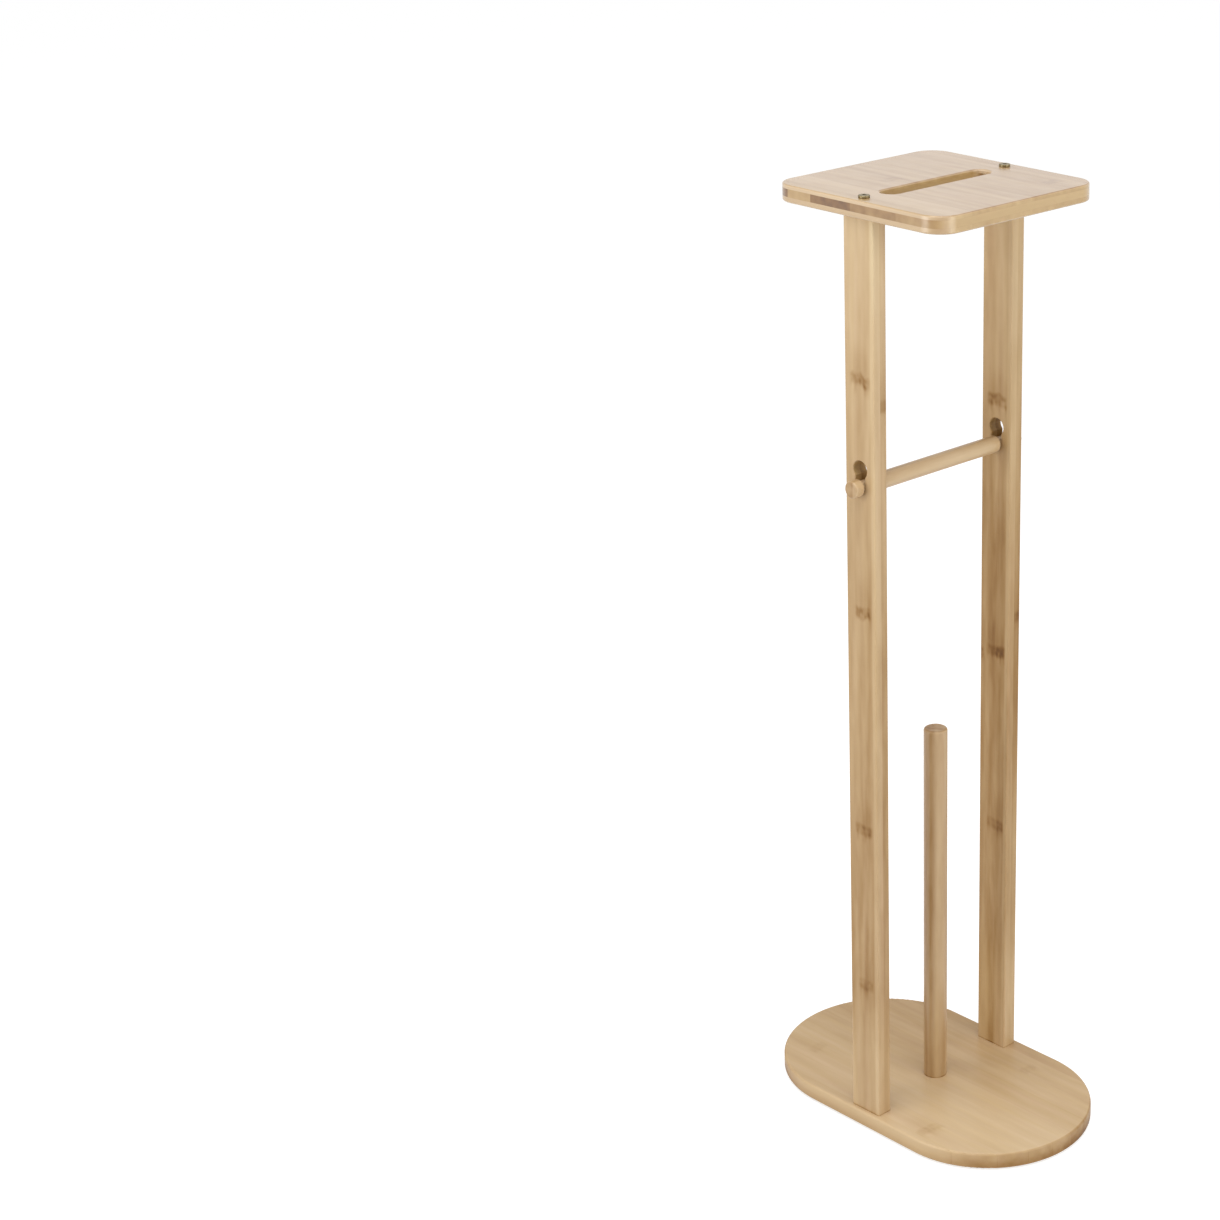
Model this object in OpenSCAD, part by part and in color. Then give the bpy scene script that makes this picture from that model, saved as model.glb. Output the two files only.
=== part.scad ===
/* [Base plate] */
// Distance that the base plate reaches out past the uprights, on each side
base_margin = 4; // [2:0.5:30]
// Length of the base plate, front to back
base_l = 300; // [240:1:380]
// Thickness of the base plate
base_t = 14; // [13:0.5:20]
// Radius of the eased rim of the base plate
base_ease = 2; // [0.5:0.25:4]

/* [Feet] */
// Diameter of one stick-on foot pad
foot_d = 16; // [10:1:24]
// Thickness of one foot pad
foot_h = 1.5; // [1:0.25:4]
// Distance from the side of the base plate to the middle of a pad
foot_inset_x = 39; // [30:1:60]
// Distance from the end of the base plate to the middle of a pad
foot_inset_y = 52; // [46:1:80]

/* [Uprights] */
// Clear gap between the two uprights
upright_gap = 142; // [110:1:200]
// Thickness of one upright, across the stand
upright_t = 14; // [12:0.5:20]
// Width of one upright, front to back
upright_w = 31.5; // [30:0.5:45]
// Length of one upright
upright_l = 770.5; // [640:0.5:900]
// Radius of the eased long edges of an upright
upright_ease = 1.2; // [0.4:0.1:2.5]

/* [Shelf] */
// Distance that the shelf reaches out past the uprights, on each side
shelf_margin = 4; // [2:0.5:30]
// Depth of the shelf, front to back
shelf_d = 180; // [140:1:240]
// Thickness of the shelf
shelf_t = 14; // [13:0.5:20]
// Radius of the four corners of the shelf
shelf_corner = 20; // [10:1:34]
// Radius of the eased rims of the shelf
shelf_ease = 1.5; // [0.5:0.25:3]
// Distance from each end of the shelf's slot to the upright beside it
slot_margin = 13; // [5:1:40]
// Width of that slot
slot_w = 18; // [8:1:30]
// Radius of the eased rims of the slot
slot_ease = 1.5; // [0.5:0.25:3]

/* [Roll rod] */
// Height of the rod's centre line above the base plate
rod_rise = 557; // [420:0.5:650]
// Diameter of the rod and of its two end knobs
rod_d = 14; // [12:0.5:18]
// Depth to which the two necks that sit in the keyholes are turned into the rod
neck_cut = 2; // [1:0.25:3]
// Length of each end knob
knob_l = 8.2; // [5:0.1:14]
// Radius of the eased outer end of a knob
knob_ease = 1.5; // [0.5:0.1:2.5]

/* [Keyholes] */
// Gap round the rod where it passes through the upper round hole
rod_pass_fit = 0.5; // [0.3:0.1:2]
// Height of that hole's centre above the seat
keyhole_rise = 13.75; // [12:0.25:20]
// Width of the broken edge round the keyhole
keyhole_break = 0.5; // [0.2:0.1:1]

/* [Spare-roll post] */
// Diameter of the post
post_d = 20; // [15:0.5:28]
// Height of the post above the base plate
post_rise = 326.5; // [200:0.5:480]
// Diameter of the short tenon below the post's shoulder
tenon_d = 14; // [8:0.5:14.5]
// Length of that tenon
tenon_l = 4; // [2:0.5:5]
// Radius of the eased top of the post
post_ease = 2; // [0.5:0.25:4]

/* [Wooden dowels] */
// Diameter of one locating dowel
dowel_d = 6; // [4:0.5:7]
// Length of one locating dowel
dowel_l = 24; // [20:1:34]
// Depth to which a dowel reaches into the base plate or the shelf
dowel_in_plate = 10; // [6:0.5:10.5]
// Distance from the narrow face of an upright to the middle of the dowel beside it
dowel_edge = 6.25; // [5:0.25:7]

/* [Screws] */
// Diameter of the screw shank over the thread
screw_d = 4; // [3:0.25:5]
// Length of the screw below its head
screw_l = 40; // [30:1:60]
// Diameter of the screw head
screw_head_d = 9; // [7:0.5:10]
// Height of the screw head
screw_head_h = 2; // [1.5:0.1:2.5]
// Size across the flats of the hexagon socket in the head
hex_af = 3; // [2:0.5:4]
// Depth of that socket
hex_depth = 1.4; // [0.8:0.1:1.5]
// Depth of the counterbores under the base plate
counterbore_depth = 4; // [3:0.25:4.5]

/* [Fits] */
// Gap between a dowel, screw or tenon and the wall of its hole, on each side
hole_fit = 0.1; // [0.05:0.05:0.2]
// Side gap of a neck in its keyhole channel
neck_fit = 0.3; // [0.2:0.05:0.6]
// Gap under a neck in its seat
seat_fit = 0.05; // [0.02:0.01:0.1]
// Gap between an upright and the shoulder of the rod on each side of it
shoulder_fit = 2; // [0.3:0.1:3]
// Depth that is left free below the end of a dowel or a screw
end_relief = 1; // [0.5:0.5:2]
// Gap round a screw head in its counterbore
head_fit = 0.5; // [0.3:0.1:1]

/* [Hidden] */
$fn = 96;

// Side and row signs: the left upright lies at -X, the front of the base at -Y
left = -1;
right = 1;
front = -1;
back = 1;

// Heights above the floor, from the feet up
base_z = foot_h;
upright_z = base_z + base_t;
shelf_z = upright_z + upright_l;
shelf_top = shelf_z + shelf_t;
rod_z = upright_z + rod_rise;
post_z = upright_z - tenon_l;

// Centre line of an upright, and of its screws and dowels
upright_x = (upright_gap + upright_t) / 2;
dowel_y = upright_w / 2 - dowel_edge;

// Boards: their widths follow the uprights that they carry or rest on
upright_span = upright_gap + 2 * upright_t;
base_w = upright_span + 2 * base_margin;
shelf_w = upright_span + 2 * shelf_margin;
slot_l = upright_gap - 2 * slot_margin;
foot_x = base_w / 2 - foot_inset_x;
foot_y = base_l / 2 - foot_inset_y;

// A keyhole's round hole passes the rod, its channel is a neck wide, and its seat lies
// just under the neck
neck_d = rod_d - 2 * neck_cut;
keyhole_d = rod_d + 2 * rod_pass_fit;
channel_w = neck_d + 2 * neck_fit;
seat_z = rod_z + neck_fit - seat_fit;

// The rod: a body that fills the gap, two necks longer than the uprights are thick, so
// that it hangs loose, and two knobs
rod_body_l = upright_gap - 2 * shoulder_fit;
neck_l = upright_t + 2 * shoulder_fit;
// Radius of the eased edges of the rod's shoulders and of the inner ends of its knobs
shoulder_ease = 0.4;

// Depths of the holes in the ends of the uprights
dowel_in_upright = dowel_l - dowel_in_plate;
shelf_pilot = screw_l - shelf_t + end_relief;
base_pilot = screw_l - (base_t - counterbore_depth) + end_relief;
post_pilot = screw_l - (base_t - counterbore_depth - tenon_l) + end_relief;

// Length of a dowel's tapered lead and of a screw's point
dowel_lead = 1;
screw_point = 5;
foot_ease = 0.3;
head_ease = 0.4;
// How far a cutting tool runs past the face that it cuts
past = 1;

bamboo = [0.82, 0.70, 0.52];
bamboo_shade = [0.74, 0.61, 0.44];
bamboo_pale = [0.87, 0.78, 0.64];
beech = [0.88, 0.78, 0.60];
bronze = [0.45, 0.40, 0.27];
pad_grey = [0.30, 0.29, 0.27];

// Half of the section of a board or stick, from its centre line out to its rim, with
// both corners of the rim eased
module eased_section(reach, thick, ease) {
    square([reach - ease, thick]);
    translate([0, ease]) square([reach, thick - 2 * ease]);
    for (y = [ease, thick - ease])
        translate([reach - ease, y]) circle(ease);
}

// Half of the section of a turned stick that stands on y = 0, eased at its far end
module stick_section(radius, length, ease) {
    square([radius - ease, length]);
    square([radius, length - ease]);
    translate([radius - ease, length - ease]) circle(ease);
}

// Rectangle with its four corners eased
module eased_rectangle(x, y, ease) {
    square([x - 2 * ease, y], center = true);
    square([x, y - 2 * ease], center = true);
    for (sx = [-1, 1], sy = [-1, 1])
        translate([sx * (x / 2 - ease), sy * (y / 2 - ease)]) circle(ease);
}

// Straight run of a board's rim along +Y, its section reaching towards +X
module rim_run(length, reach, thick, ease) {
    rotate([90, 0, 0])
        linear_extrude(length, center = true) eased_section(reach, thick, ease);
}

// Board with round corners and eased rims. With a corner radius of half the width its
// two ends are half circles
module rounded_board(width, length, thick, corner, ease) {
    run_x = width - 2 * corner;
    run_y = length - 2 * corner;
    for (quarter = [0:3])
        translate([
            (quarter == 0 || quarter == 3 ? 1 : -1) * run_x / 2,
            (quarter < 2 ? 1 : -1) * run_y / 2,
            0
        ])
            rotate([0, 0, 90 * quarter])
                rotate_extrude(angle = 90) eased_section(corner, thick, ease);
    for (side = [0, 180])
        rotate([0, 0, side])
            translate([run_x / 2, 0, 0]) rim_run(run_y, corner, thick, ease);
    if (run_x > 0) {
        for (side = [90, 270])
            rotate([0, 0, side])
                translate([run_y / 2, 0, 0]) rim_run(run_x, corner, thick, ease);
        translate([-run_x / 2, -run_y / 2, 0]) cube([run_x, run_y, thick]);
    }
}

// Places for both dowels in one end of an upright that is centred on x
module at_dowels(x) {
    for (row = [front, back])
        translate([x, row * dowel_y, 0]) children();
}

// Round hole along Z from z = 0 upwards, with its wall a fit away from what it holds
module fit_hole(diameter, depth) {
    translate([0, 0, -past]) cylinder(d = diameter + 2 * hole_fit, h = depth + past);
}

// Rim of a slot's section: the wall flares out by a quarter circle at both faces
module slot_section(reach, thick, ease) {
    translate([0, -past]) square([reach, thick + 2 * past]);
    for (face = [0, 1])
        translate([reach, face * thick])
            mirror([0, face])
                difference() {
                    translate([-ease, -past]) square([2 * ease, ease + past]);
                    translate([ease, ease]) circle(ease);
                }
}

// Round-ended slot along X, eased at both faces of a board that is thick
module slot_cut(length, width, thick, ease) {
    run = length - width;
    for (side = [left, right])
        translate([side * run / 2, 0, 0])
            rotate([0, 0, side * 90 - 180])
                rotate_extrude(angle = 180) slot_section(width / 2, thick, ease);
    for (side = [0, 180])
        rotate([0, 0, side])
            rotate([90, 0, 90])
                linear_extrude(run, center = true) slot_section(width / 2, thick, ease);
}

// Broken edge of the keyhole at one face of an upright, opening along -Z
module keyhole_rim() {
    wide = channel_w / 2;
    lip = keyhole_break;
    cylinder(h = lip, r1 = wide + lip, r2 = wide);
    translate([0, keyhole_rise, 0])
        cylinder(h = lip, r1 = keyhole_d / 2 + lip, r2 = keyhole_d / 2);
    rotate([-90, 0, 0])
        linear_extrude(keyhole_rise)
            polygon([[-wide - lip, 0], [wide + lip, 0], [wide, -lip], [-wide, -lip]]);
}

// Keyhole through an upright that is centred on X, with its seat at the origin
module keyhole_cut() {
    rotate([90, 0, 90]) {
        translate([0, 0, -upright_t / 2 - past])
            linear_extrude(upright_t + 2 * past) {
                circle(d = channel_w);
                translate([-channel_w / 2, 0]) square([channel_w, keyhole_rise]);
                translate([0, keyhole_rise]) circle(d = keyhole_d);
            }
        for (face = [0, 1])
            mirror([0, 0, face]) translate([0, 0, -upright_t / 2]) keyhole_rim();
    }
}

// Stadium-shaped foot board, with the holes for both uprights and the post
module base_plate() {
    color(bamboo)
        difference() {
            translate([0, 0, base_z])
                rounded_board(base_w, base_l, base_t, base_w / 2, base_ease);
            for (side = [left, right])
                at_dowels(side * upright_x)
                    translate([0, 0, upright_z])
                        mirror([0, 0, 1]) fit_hole(dowel_d, dowel_in_plate + end_relief);
            for (x = [left * upright_x, 0, right * upright_x])
                translate([x, 0, base_z]) {
                    fit_hole(screw_d, base_t + past);
                    translate([0, 0, -past])
                        cylinder(d = screw_head_d + 2 * head_fit, h = counterbore_depth + past);
                }
            translate([0, 0, upright_z])
                mirror([0, 0, 1]) fit_hole(tenon_d, tenon_l + end_relief);
        }
}

// Flat side post with its keyhole, centred on X and standing on z = 0
module upright_post() {
    difference() {
        linear_extrude(upright_l) eased_rectangle(upright_t, upright_w, upright_ease);
        translate([0, 0, seat_z - upright_z]) keyhole_cut();
        at_dowels(0) {
            fit_hole(dowel_d, dowel_in_upright + end_relief);
            translate([0, 0, upright_l])
                mirror([0, 0, 1]) fit_hole(dowel_d, dowel_in_upright + end_relief);
        }
        fit_hole(screw_d, base_pilot);
        translate([0, 0, upright_l]) mirror([0, 0, 1]) fit_hole(screw_d, shelf_pilot);
    }
}

module left_upright() {
    color(bamboo) translate([left * upright_x, 0, upright_z]) upright_post();
}

module right_upright() {
    color(bamboo_shade) translate([right * upright_x, 0, upright_z]) upright_post();
}

// Nearly square top board with the slot, held by one screw over each upright
module top_shelf() {
    color(bamboo_pale)
        difference() {
            translate([0, 0, shelf_z])
                rounded_board(shelf_w, shelf_d, shelf_t, shelf_corner, shelf_ease);
            translate([0, 0, shelf_z]) slot_cut(slot_l, slot_w, shelf_t, slot_ease);
            for (side = [left, right]) {
                at_dowels(side * upright_x)
                    translate([0, 0, shelf_z])
                        fit_hole(dowel_d, dowel_in_plate + end_relief);
                translate([side * upright_x, 0, shelf_z]) fit_hole(screw_d, shelf_t + past);
            }
        }
}

// Half of the section of a knob: its inner end at y = 0, its outer end eased more
module knob_section() {
    translate([0, knob_l / 2]) {
        stick_section(rod_d / 2, knob_l / 2, knob_ease);
        mirror([0, 1]) stick_section(rod_d / 2, knob_l / 2, shoulder_ease);
    }
}

// Turned rod that hangs in both keyholes, with a neck and a knob at each end
module roll_rod() {
    color(bamboo_shade)
        translate([0, 0, rod_z])
            rotate([0, 90, 0])
                rotate_extrude()
                    for (end = [0, 1])
                        mirror([0, end]) {
                            stick_section(rod_d / 2, rod_body_l / 2, shoulder_ease);
                            translate([0, rod_body_l / 2 - past])
                                square([neck_d / 2, neck_l + 2 * past]);
                            translate([0, rod_body_l / 2 + neck_l]) knob_section();
                        }
}

// Straight post in the middle of the base plate, with a tenon below its shoulder
module spare_roll_post() {
    color(bamboo_shade)
        translate([0, 0, post_z])
            difference() {
                rotate_extrude() {
                    square([tenon_d / 2, tenon_l + past]);
                    translate([0, tenon_l]) stick_section(post_d / 2, post_rise, post_ease);
                }
                fit_hole(screw_d, post_pilot);
            }
}

// Flat-headed screw with a hexagon socket, its head standing on z = 0 and its point down
module flat_screw() {
    color(bronze) {
        difference() {
            rotate_extrude() eased_section(screw_head_d / 2, screw_head_h, head_ease);
            translate([0, 0, screw_head_h - hex_depth])
                cylinder(d = hex_af / cos(30), h = hex_depth + past, $fn = 6);
        }
        translate([0, 0, screw_point - screw_l])
            cylinder(d = screw_d, h = screw_l - screw_point);
        translate([0, 0, -screw_l])
            cylinder(r1 = 0.2, r2 = screw_d / 2, h = screw_point);
    }
}

// Screw down through the shelf into the end of an upright
module shelf_screw(side) {
    translate([side * upright_x, 0, shelf_top]) flat_screw();
}

// Screw up through the base plate, its head sunk in a counterbore
module base_screw(x) {
    translate([x, 0, base_z + counterbore_depth]) mirror([0, 0, 1]) flat_screw();
}

// Wooden locating dowel between an upright and a board, its middle on the joint line
module dowel(side, row, low_end) {
    color(beech)
        translate([side * upright_x, row * dowel_y, low_end]) {
            cylinder(r1 = dowel_d / 2 - dowel_lead, r2 = dowel_d / 2, h = dowel_lead);
            translate([0, 0, dowel_lead]) cylinder(d = dowel_d, h = dowel_l - 2 * dowel_lead);
            translate([0, 0, dowel_l - dowel_lead])
                cylinder(r1 = dowel_d / 2, r2 = dowel_d / 2 - dowel_lead, h = dowel_lead);
        }
}

module shelf_dowel(side, row) {
    dowel(side, row, shelf_z + dowel_in_plate - dowel_l);
}

module base_dowel(side, row) {
    dowel(side, row, upright_z - dowel_in_plate);
}

// Stick-on pad under the base plate
module foot(side, row) {
    color(pad_grey)
        translate([side * foot_x, row * foot_y, 0])
            rotate_extrude() {
                translate([0, foot_ease]) square([foot_d / 2, foot_h - foot_ease]);
                square([foot_d / 2 - foot_ease, foot_h]);
                translate([foot_d / 2 - foot_ease, foot_ease]) circle(foot_ease);
            }
}

base_plate();
left_upright();
right_upright();
top_shelf();
roll_rod();
spare_roll_post();
shelf_screw(left);  // shelf_screw_left
shelf_screw(right);  // shelf_screw_right
base_screw(left * upright_x);  // base_screw_left
base_screw(right * upright_x);  // base_screw_right
base_screw(0);  // post_screw
shelf_dowel(left, front);  // shelf_dowel_left_front
shelf_dowel(left, back);  // shelf_dowel_left_back
shelf_dowel(right, front);  // shelf_dowel_right_front
shelf_dowel(right, back);  // shelf_dowel_right_back
base_dowel(left, front);  // base_dowel_left_front
base_dowel(left, back);  // base_dowel_left_back
base_dowel(right, front);  // base_dowel_right_front
base_dowel(right, back);  // base_dowel_right_back
foot(left, front);  // foot_left_front
foot(left, back);  // foot_left_back
foot(right, front);  // foot_right_front
foot(right, back);  // foot_right_back
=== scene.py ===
"""Looks of a bamboo toilet paper stand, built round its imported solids."""

import math

import bpy
from mathutils import Matrix, Vector


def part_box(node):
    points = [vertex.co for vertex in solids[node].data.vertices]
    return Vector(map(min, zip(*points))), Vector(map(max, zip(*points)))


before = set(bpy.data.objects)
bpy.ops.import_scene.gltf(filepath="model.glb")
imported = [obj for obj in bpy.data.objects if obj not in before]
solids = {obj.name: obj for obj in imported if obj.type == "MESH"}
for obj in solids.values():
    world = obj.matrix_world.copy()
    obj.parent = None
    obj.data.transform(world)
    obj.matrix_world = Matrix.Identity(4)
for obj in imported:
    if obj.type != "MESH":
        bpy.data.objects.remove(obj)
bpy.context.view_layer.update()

MILLIMETRES = 1000  # in a metre


def corners(name):
    """The lowest and the highest corner of a solid, in millimetres."""
    return [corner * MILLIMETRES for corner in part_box(name)]


def top_of(name):
    """How high a solid reaches, in millimetres."""
    return corners(name)[1].z


def grey(level):
    """A neutral colour in Blender's linear form. 1 is white."""
    return (level, level, level, 1)


def tint(red, green, blue):
    """A colour as eight-bit screen values, in Blender's linear form."""

    def linear(level):
        share = level / 255
        if share <= 0.04045:
            return share / 12.92
        return ((share + 0.055) / 1.055) ** 2.4

    return (linear(red), linear(green), linear(blue), 1)


# Bamboo under lacquer by depth of tone, from the palest strip to a ring scar
BAMBOO_TONES = [
    (0.00, tint(221, 200, 164)),
    (0.20, tint(210, 184, 147)),
    (0.40, tint(196, 167, 128)),
    (0.60, tint(177, 145, 104)),
    (0.75, tint(155, 119, 74)),
    (0.90, tint(122, 82, 30)),
    (1.00, tint(94, 57, 8)),
]
# What a colour is multiplied by where the wood is rosier or more golden
ROSY = (1, 0.93, 0.95, 1)
GOLDEN = (1, 0.98, 0.78, 1)


class Signal:
    """A socket's value. Its Python operators add Math nodes."""

    def __init__(self, finish, socket):
        self.finish = finish
        self.socket = socket

    def maths(self, operation, *values):
        return self.finish.node("Math", {"operation": operation}, dict(enumerate(values)))

    def __add__(self, other):
        return self.maths("ADD", self, other)

    def __sub__(self, other):
        return self.maths("SUBTRACT", self, other)

    def __rsub__(self, other):
        return self.maths("SUBTRACT", other, self)

    def __mul__(self, other):
        return self.maths("MULTIPLY", self, other)

    def __truediv__(self, other):
        return self.maths("DIVIDE", self, other)

    def __abs__(self):
        return self.maths("ABSOLUTE", self)

    def __floor__(self):
        return self.maths("FLOOR", self)

    __radd__ = __add__
    __rmul__ = __mul__

    def larger(self, other):
        return self.maths("MAXIMUM", self, other)

    def fade(self, zero_at, one_at):
        """Runs softly from 0 at the first value to 1 at the second."""
        settings = {"interpolation_type": "SMOOTHSTEP"}
        return self.finish.node("MapRange", settings, {0: self, 1: zero_at, 2: one_at})

    def above(self, edge, soft):
        """1 above an edge and 0 below it, with a soft step of that reach either way."""
        return self.fade(edge - soft, edge + soft)

    def below(self, edge, soft):
        """1 below an edge and 0 above it, with a soft step of that reach either way."""
        return self.fade(edge + soft, edge - soft)

    def between(self, first, second):
        """Goes from the first value to the second as this one goes from 0 to 1."""
        return self * (second - first) + first


class Finish:
    """The nodes of one procedural material, or of the world where a tree is given."""

    def __init__(self, name, tree=None):
        if tree is None:
            self.material = bpy.data.materials.new(name)
            self.material.use_nodes = True
            tree = self.material.node_tree
        self.tree = tree
        self.tree.nodes.clear()

    def node(self, kind, settings=None, sockets=None, output=0):
        """Adds a node: first its settings, then values or links for its sockets."""
        made = self.tree.nodes.new("ShaderNode" + kind)
        for setting, value in (settings or {}).items():
            if setting == "stops":
                self.fill_ramp(made.color_ramp, value)
            else:
                setattr(made, setting, value)
        for socket, value in (sockets or {}).items():
            if isinstance(value, Signal):
                self.tree.links.new(value.socket, made.inputs[socket])
            else:
                made.inputs[socket].default_value = value
        return Signal(self, made.outputs[output]) if made.outputs else None

    def fill_ramp(self, ramp, stops):
        """Gives a colour ramp its stops."""
        while len(ramp.elements) < len(stops):
            ramp.elements.new(1)
        for element, (place, colour) in zip(ramp.elements, stops):
            element.position = place
            element.color = colour

    def part(self, vector, axis):
        """A vector's part along X, Y or Z."""
        return self.node("SeparateXYZ", sockets={0: vector}, output=axis)

    def place(self):
        """The point on the piece, as three numbers in millimetres."""
        point = self.node("TexCoord", output="Object")
        return [self.part(point, axis) * MILLIMETRES for axis in "XYZ"]

    def facing(self, axis):
        """How squarely the surface faces along X, Y or Z, either way, from 0 to 1."""
        return abs(self.part(self.node("TexCoord", output="Normal"), axis))

    def noise(self, x, y, z, detail=2):
        """Soft noise from 0 to 1. Its lumps are about 1 wide in x, y and z."""
        point = self.node("CombineXYZ", sockets={0: x, 1: y, 2: z})
        sockets = {"Vector": point, "Scale": 1, "Detail": detail, "Roughness": 0.5}
        return self.node("TexNoise", {"noise_dimensions": "3D"}, sockets)

    def chance(self, number, seed):
        """A steady random number from 0 to 1 for each whole number."""
        cell = self.node("CombineXYZ", sockets={0: number, 1: seed})
        return self.node("TexWhiteNoise", {"noise_dimensions": "3D"}, {0: cell})

    def blend(self, share, under, over, kind="MIX"):
        """Mixes two colours: share is how much of the second one shows."""
        settings = {"data_type": "RGBA", "blend_type": kind}
        return self.node("Mix", settings, {0: share, 6: under, 7: over}, output=2)

    def bump(self, height, depth_mm, strength):
        sockets = {"Strength": strength, "Distance": depth_mm / MILLIMETRES, "Height": height}
        return self.node("Bump", sockets=sockets)

    def surface(self, **values):
        """The finished material. A socket's name has underscores for its spaces."""
        sockets = {name.replace("_", " "): value for name, value in values.items()}
        shader = self.node("BsdfPrincipled", sockets=sockets)
        self.node("OutputMaterial", sockets={0: shader})
        return self.material


class Grain:
    """Bamboo fibres that run along one axis. All its lengths are in millimetres."""

    def __init__(self, wood, along, across, through, seed):
        self.wood = wood
        self.along = along
        self.across = across
        self.through = through
        self.seed = seed
        self.fibre = self.drawn_out(length=17, width=0.4, detail=3)

    def drawn_out(self, length, width, detail=2):
        """Noise from -1 to 1 or so, stretched along the fibres."""
        noise = self.wood.noise(
            self.along / length + self.seed * 7.3,
            self.across / width + self.seed * 3.1,
            self.through / width + self.seed,
            detail,
        )
        return noise * 4 - 2

    def lumps(self, length, width, detail):
        """Noise from 0 to 1 that is the same all through the wood's thickness."""
        return self.wood.noise(self.across / width, self.along / length, self.seed, detail)

    def figure(self):
        """What every strip has: drifts of tone, bands, patches, fibres, streaks and flecks."""
        drift = self.drawn_out(length=210, width=14, detail=1)
        band = self.drawn_out(length=80, width=6, detail=0)
        patch = self.drawn_out(length=24, width=4, detail=1)
        streak = self.drawn_out(length=50, width=1.8, detail=1).fade(0.2, 1.1)
        fleck = self.drawn_out(length=5, width=0.25, detail=0).fade(0.7, 1.1)
        soft = drift * 0.09 + band * 0.05 + patch * 0.035
        return soft + self.fibre * 0.015 + streak * 0.025 + fleck * 0.025

    def strips(self, width, first_joint, spread):
        """A step of tone from one glued strip to the next, with a thin dark joint."""
        joint_reach = 0.35
        spot = (self.across - first_joint) / width
        strip = math.floor(spot)
        off_middle = abs(spot - strip - 0.5)
        joint = off_middle.fade(0.5 - joint_reach / width, 0.5)
        return (self.wood.chance(strip, self.seed) - 0.5) * spread + joint * 0.07

    def ring_scars(self, places):
        """Marks where leaf sheaths grew: a soft lumpy band with drips below it and a haze
        above it. Each place is a height along the fibres, a middle and a reach across
        them, and a share of the full darkness."""
        wander_range = 8
        wander = (self.lumps(length=70, width=9, detail=1) - 0.5) * wander_range
        lump = self.lumps(length=9, width=6, detail=1).fade(0.32, 0.62)
        drip = self.lumps(length=30, width=4, detail=0).fade(0.42, 0.66)
        marks = 0
        for at, middle, reach, darkness in places:
            height = self.along - at + wander
            side = abs(self.across - middle).fade(reach + 1.5, reach - 3)
            band = height.fade(-7.5, -2) * height.fade(6.5, 1.5) * (lump * 0.5 + 0.5)
            drips = height.fade(-15, -4) * height.fade(2, -4) * drip
            haze = height.fade(-2, 5) * height.fade(36, 8)
            marks = marks + (band * 0.27 + drips * 0.14 + haze * 0.09) * side * darkness
        return marks


def bamboo(wood, tone, grain, end_grain=0, golden=0, lacquer=0.1, sheen=0.15):
    """Colour, fibres and satin clear lacquer over bamboo of a depth of tone."""
    warmth = grain.drawn_out(length=320, width=8)
    rosy_share = warmth.fade(0.1, 1.1) * 0.45
    golden_share = warmth.fade(0.5, -1.1) * 0.3 + golden
    colour = wood.node("ValToRGB", {"stops": BAMBOO_TONES}, {0: tone + end_grain * 0.05})
    colour = wood.blend(rosy_share, colour, ROSY, "MULTIPLY")
    colour = wood.blend(golden_share, colour, GOLDEN, "MULTIPLY")
    cloud_width = 15
    cloudy = wood.noise(*[coordinate / cloud_width for coordinate in wood.place()])
    return wood.surface(
        Base_Color=colour,
        Roughness=cloudy * 0.12 + 0.3 + end_grain * 0.12,
        Specular_IOR_Level=sheen,
        Coat_Weight=lacquer,
        Coat_Roughness=0.27,
        Coat_IOR=1.7,
        Normal=wood.bump(grain.fibre * 0.3 + cloudy * 0.5, depth_mm=0.05, strength=0.5),
    )


def joint_and_shade_at_plate(z):
    """1 at the foot of what stands on the base plate: a dark joint line, partly painted contact
    shade.
    """
    plate_top = top_of("base_plate")
    return z.fade(plate_top + 1.5, plate_top + 0.2)


def upright_finish(side, ply_tones, ply_scars, tone_and_shade_downwards, seed, golden=0):
    """Two plies glued face to face. ply_tones and ply_scars hold those of the -X ply, then
    those of the +X ply. The fourth argument gives where the board turns deeper in tone
    downwards, where that ends and how deep it gets: partly the wood's own tone, partly painted
    shade."""
    wood = Finish("bamboo_" + side)
    x, y, z = wood.place()
    low, high = corners(side + "_upright")
    middle_x = (low.x + high.x) / 2
    grain = Grain(wood, along=z, across=y, through=x, seed=seed)
    first_tone, second_tone = ply_tones
    first_scars, second_scars = [grain.ring_scars(scars) for scars in ply_scars]
    starts_at, ends_at, depth = tone_and_shade_downwards

    second_ply = x.above(middle_x, soft=0.25)
    glue = abs(x - middle_x).fade(0.5, 0)
    heart = abs(y + 1).fade(9, 2)
    front_strip_width = 3.75
    front_strip = y.below(low.y + front_strip_width, soft=1)
    # Paler near the top and the foot: partly the wood's own tone, partly painted light
    pale_and_lit_ends = z.fade(620, 770) + z.fade(140, 60)
    # The keyhole's walls show fresh wood from inside the board
    edge_margin = 4
    away_from_edges = abs(y).below(high.y - edge_margin, soft=0.75)
    bored = (1 - wood.facing("X")).fade(0.3, 0.8) * away_from_edges

    # The +X ply is paler near its foot
    second_tone = second_tone - z.fade(200, 90) * 0.1
    tone = second_ply.between(first_tone, second_tone) + grain.figure()
    tone = tone + second_ply.between(first_scars, second_scars)
    # Deeper in tone downwards and paler at both ends: partly the wood's own tone, partly
    # painted shade and painted light
    tone = tone + z.fade(starts_at, ends_at) * depth - pale_and_lit_ends * 0.17
    # The darker foot is a joint line with painted contact shade
    tone = tone + heart * 0.05 - front_strip * 0.135 + glue * 0.04 + joint_and_shade_at_plate(z) * 0.25
    return bamboo(wood, tone - bored * 0.03, grain, bored, bored + golden)


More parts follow.
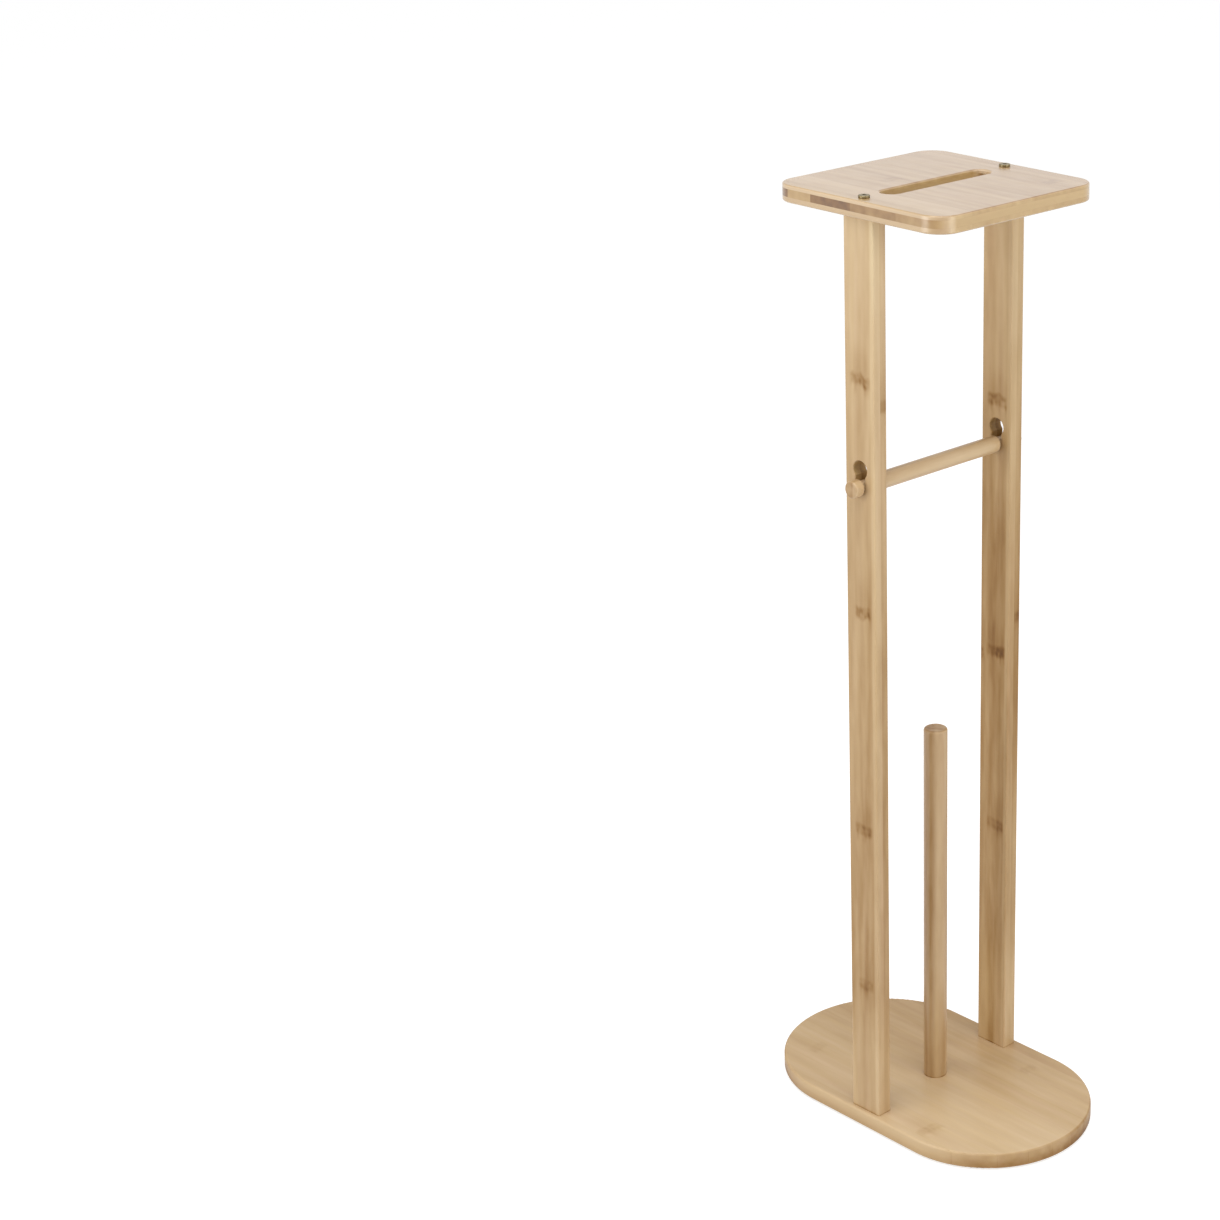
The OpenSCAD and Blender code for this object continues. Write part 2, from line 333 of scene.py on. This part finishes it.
def left_upright_finish():
    outer_scars = [(659, -1, 11, 1), (468, -2, 9, 0.9), (278, -1, 10, 0.6), (136, -2, 9, 0.4)]
    inner_scars = [(640, -15, 4, 1), (560, 1, 10, 0.8), (340, -1, 10, 0.9), (150, 0, 10, 0.8)]
    return upright_finish(
        side="left",
        ply_tones=(0.43, 0.59),
        ply_scars=(outer_scars, inner_scars),
        tone_and_shade_downwards=(640, 200, 0.2),
        seed=3,
    )


def right_upright_finish():
    inner_scars = [(610, -1, 11, 0.9), (391, -2, 11, 0.5), (390, -6, 5, 0.45),
                   (231, -3, 10, 0.5), (384, 15, 3, 1)]
    outer_scars = [(421, -15, 4, 0.5), (690, 0, 10, 0.9), (265, 1, 10, 0.8), (95, -1, 10, 0.8)]
    return upright_finish(
        side="right",
        # The inner ply is a deeper tone than the left upright's: painted shade on the inner
        # face
        ply_tones=(0.5, 0.63),
        ply_scars=(inner_scars, outer_scars),
        tone_and_shade_downwards=(700, 400, 0.18),
        seed=8,
        golden=0.2,
    )


def base_finish():
    """Long strips side by side, with their end grain on the two round ends."""
    wood = Finish("bamboo_base")
    x, y, z = wood.place()
    top = top_of("base_plate")
    grain = Grain(wood, along=y, across=x, through=z, seed=5)
    strips = grain.strips(width=22.5, first_joint=-104, spread=0.08)
    scars = [(-60, -70, 12, 0.6), (-55, 59, 8, 0.35), (104, -41, 9, 0.3), (104, 22, 9, 0.3)]
    end_grain = wood.facing("Y").fade(0.1, 0.7)
    rim = wood.facing("Z").fade(0.7, 0.2)
    # The lower half of the rim is darker: painted shade
    shaded_lower_rim = rim * z.fade(top - 2.5, top - 12.5)
    away_from_front_left = y.fade(-120, 150) * 0.15 + x.fade(-40, 80) * 0.2
    tone = 0.24 + grain.figure() * 0.6 + strips + grain.ring_scars(scars) + away_from_front_left
    tone = tone + end_grain * 0.24 + rim * 0.02 + shaded_lower_rim * 0.2
    return bamboo(wood, tone, grain, end_grain)


def shelf_core_tone(wood, end_grain):
    """The tone of the shelf's core, whose cross strips end on its left and right edges."""
    x, y, z = wood.place()
    # From the front edge to the back one: each strip ends at a y and has a tone
    strips = [(-44, 0.7), (-12, 0.765), (4, 0.8), (47, 0.9), (72, 0.58)]
    back_strip_tone = 0.92
    end_tone = back_strip_tone
    for ends_at, strip_tone in reversed(strips):
        end_tone = y.above(ends_at, soft=0.4).between(strip_tone, end_tone)
    side_tone = end_tone * 0.25 + 0.27
    grain = Grain(wood, along=x, across=y, through=z, seed=14)
    return end_grain.between(side_tone, end_tone) + grain.figure() * 0.6


def shelf_finish():
    """Two face plies with their fibres front to back, and a core of cross strips."""
    wood = Finish("bamboo_shelf")
    x, y, z = wood.place()
    end_grain = wood.facing("X").fade(0.5, 0.85)
    front_and_back = wood.facing("Y")
    on_top = wood.facing("Z").fade(0.5, 0.9)
    left_strip = x.fade(-70, -88) * on_top

    upper_ply, core_ply = 3.2, 6.2
    core_high = top_of("top_shelf") - upper_ply
    core_low = core_high - core_ply
    above_core = z.above(core_high, soft=0.2)
    below_core = z.below(core_low, soft=0.2)
    in_core = 1 - above_core - below_core
    glue = abs(z - core_low).fade(0.5, 0).larger(abs(z - core_high).fade(0.5, 0))

    face = Grain(wood, along=y, across=x, through=z, seed=11)
    strips = face.strips(width=22, first_joint=-99, spread=0.1)
    scars = [(30, -20, 10, 0.4), (-64, 62, 10, 0.4)]
    face_tone = 0.32 + face.figure() * 0.7 + strips + face.ring_scars(scars)
    # The top face is a deeper tone than the edges of the same plies: painted shade
    face_tone = face_tone + on_top * 0.31 - left_strip * 0.08
    face_tone = face_tone + front_and_back.fade(0.2, 0.6) * 0.15
    face_tone = face_tone + end_grain * (below_core * 0.07 - above_core * 0.06)
    tone = in_core.between(face_tone, shelf_core_tone(wood, end_grain)) + glue * 0.05

    golden = end_grain * (in_core * 0.95 - above_core * 0.15) + left_strip * 0.7
    golden = golden + front_and_back.fade(0.8, 1)
    return bamboo(wood, tone, face, golden=golden, lacquer=1, sheen=0.25)


def rod_finish():
    """Turned from a blank of two plies, the paler one in front."""
    wood = Finish("bamboo_rod")
    x, y, z = wood.place()
    grain = Grain(wood, along=x, across=y, through=z, seed=21)
    end_grain = wood.facing("X").fade(0.6, 0.95)
    back_ply = y.above(-2.1, soft=1)
    tone = 0.34 + back_ply * 0.2 + end_grain * 0.08 + grain.figure()
    return bamboo(wood, tone, grain, end_grain, lacquer=0.4)


def post_finish():
    """Turned from a blank of two plies that stands askew, the paler one to the right. The
    deeper left ply is partly painted shade on the post's left side.
    """
    wood = Finish("bamboo_post")
    x, y, z = wood.place()
    diagonal = (x - y) * math.sqrt(0.5)
    grain = Grain(wood, along=z, across=diagonal, through=x + y, seed=25)
    end_grain = wood.facing("Z").fade(0.6, 0.95)
    # The left half is a deeper tone: a second ply, partly painted shade
    left_ply_and_shade = diagonal.below(-0.5, soft=2)
    # The darker foot is a joint line with painted contact shade
    tone = 0.51 + left_ply_and_shade * 0.12 + end_grain * 0.1 + joint_and_shade_at_plate(z) * 0.2 + grain.figure()
    return bamboo(wood, tone, grain, end_grain, lacquer=0.4)


def dowel_finish():
    """Bare beech."""
    wood = Finish("dowel_wood")
    x, y, z = wood.place()
    grain = wood.noise(x / 0.6, y / 0.6, z / 14, detail=3)
    colour = wood.blend(grain.fade(0.35, 0.75), tint(226, 198, 158), tint(196, 160, 116))
    return wood.surface(
        Base_Color=colour,
        Roughness=grain * 0.2 + 0.55,
        Normal=wood.bump(grain, depth_mm=0.06, strength=0.6),
    )


def screw_finish():
    """Dark bronze plating, rubbed a little."""
    metal = Finish("screw_metal")
    x, y, z = metal.place()
    smudge = metal.noise(x / 2.5, y / 2.5, z / 2.5, detail=3)
    scratch = metal.noise(x / 0.3, y / 3, z / 0.6)
    colour = metal.blend(smudge.fade(0.3, 0.7), tint(160, 148, 116), tint(122, 108, 76))
    return metal.surface(
        Base_Color=colour,
        Metallic=1,
        Roughness=smudge * 0.2 + scratch * 0.1 + 0.22,
        Normal=metal.bump(scratch, depth_mm=0.02, strength=0.5),
    )


def pad_finish():
    """Matt foam rubber."""
    foam = Finish("foot_pad")
    x, y, z = foam.place()
    cells = foam.noise(x / 0.5, y / 0.5, z / 0.5, detail=4)
    colour = foam.blend(cells.fade(0.3, 0.7), tint(58, 56, 53), tint(82, 79, 75))
    return foam.surface(
        Base_Color=colour,
        Roughness=cells * 0.15 + 0.8,
        Normal=foam.bump(cells, depth_mm=0.15, strength=0.6),
    )


def dress(names, material):
    """Gives solids a material."""
    for name in names:
        mesh = solids[name].data
        mesh.materials.clear()
        mesh.materials.append(material)


def seen_directly(finish):
    """1 for rays from the camera and for those that gloss and glass send back."""
    paths = ("Is Camera Ray", "Is Glossy Ray", "Is Transmission Ray")
    camera, gloss, glass = [finish.node("LightPath", output=path) for path in paths]
    return camera.larger(gloss).larger(glass)


def white_floor():
    """A plain floor that fades into the white behind it and keeps the stand's shadow."""
    metres_each_way = 30
    bpy.ops.mesh.primitive_plane_add(size=2 * metres_each_way)
    floor = bpy.context.object
    floor.name = "floor"
    paint = Finish("floor_white")
    lit = paint.node("BsdfDiffuse", sockets={"Color": grey(0.8)})
    # Where it is seen, the lamps' light and this glow add up to white outside the shadow
    soft = paint.node("BsdfDiffuse", sockets={"Color": grey(0.6)})
    glow = paint.node("Emission", sockets={"Color": grey(1), "Strength": 0.66})
    shown = paint.node("AddShader", sockets={0: soft, 1: glow})
    both = paint.node("MixShader", sockets={0: seen_directly(paint), 1: lit, 2: shown})
    paint.node("OutputMaterial", sockets={0: both})
    floor.data.materials.append(paint.material)


def white_world():
    """Even white light from all round, and pure white where it is seen."""
    world = bpy.data.worlds.new("studio")
    bpy.context.scene.world = world
    world.use_nodes = True
    air = Finish("studio", world.node_tree)
    fill = air.node("Background", sockets={"Color": grey(1), "Strength": 0.55})
    seen = air.node("Background", sockets={"Color": grey(1), "Strength": 1})
    both = air.node("MixShader", sockets={0: seen_directly(air), 1: fill, 2: seen})
    air.node("OutputWorld", sockets={0: both})


def softbox(name, place, size, watts):
    """A broad lamp that faces the middle of the stand. place and size are in metres."""
    middle_of_stand = Vector((0, 0, 0.4))
    lamp = bpy.data.lights.new(name, "AREA")
    lamp.shape = "RECTANGLE"
    lamp.size, lamp.size_y = size
    lamp.energy = watts
    holder = bpy.data.objects.new(name, lamp)
    bpy.context.scene.collection.objects.link(holder)
    holder.location = place
    aim = middle_of_stand - holder.location
    holder.rotation_euler = aim.to_track_quat("-Z", "Y").to_euler()


def beside_the_stand(bearing):
    """A lamp's place in metres, by its bearing in degrees from the front. A positive
    bearing is to the right."""
    distance, height = 2.4, 0.9
    turn = math.radians(bearing)
    return (distance * math.sin(turn), -distance * math.cos(turn), height)


def photo_camera():
    """The camera stands where the photograph was taken from, in metres. It was fitted to
    the outlines of the boards."""
    image_side = 1220
    focal_pixels = 2741
    centre_pixels = (970.7, 575.6)
    heading, pitch, roll = (math.radians(angle) for angle in (-46.99, 20.50, 0.33))
    place = Vector((-1.5023, -1.4402, 1.2545))

    back = Vector((
        math.sin(heading) * math.cos(pitch),
        -math.cos(heading) * math.cos(pitch),
        math.sin(pitch),
    ))
    level_right = Vector((0, 0, 1)).cross(back).normalized()
    level_up = back.cross(level_right)
    right = math.cos(roll) * level_right + math.sin(roll) * level_up
    up = math.cos(roll) * level_up - math.sin(roll) * level_right

    lens = bpy.data.cameras.new("photo_camera")
    lens.sensor_width = 36
    lens.lens = focal_pixels / image_side * lens.sensor_width
    lens.shift_x = (image_side / 2 - centre_pixels[0]) / image_side
    lens.shift_y = (centre_pixels[1] - image_side / 2) / image_side
    camera = bpy.data.objects.new("photo_camera", lens)
    bpy.context.scene.collection.objects.link(camera)
    turned = Matrix((right, up, back)).transposed().to_4x4()
    camera.matrix_world = Matrix.Translation(place) @ turned
    bpy.context.scene.camera = camera


dress(["left_upright"], left_upright_finish())
dress(["right_upright"], right_upright_finish())
dress(["base_plate"], base_finish())
dress(["top_shelf"], shelf_finish())
dress(["roll_rod"], rod_finish())
dress(["spare_roll_post"], post_finish())
dress([name for name in solids if "dowel" in name], dowel_finish())
dress([name for name in solids if "screw" in name], screw_finish())
dress([name for name in solids if name.startswith("foot")], pad_finish())

white_floor()
white_world()
softbox("left_softbox", beside_the_stand(bearing=-109), size=(1.2, 1.7), watts=21)
softbox("right_softbox", beside_the_stand(bearing=5), size=(1.3, 1.7), watts=19)
softbox("top_softbox", (-0.5, -0.4, 2.6), size=(1.6, 1.6), watts=27)
photo_camera()
bpy.context.scene.view_settings.view_transform = "Standard"
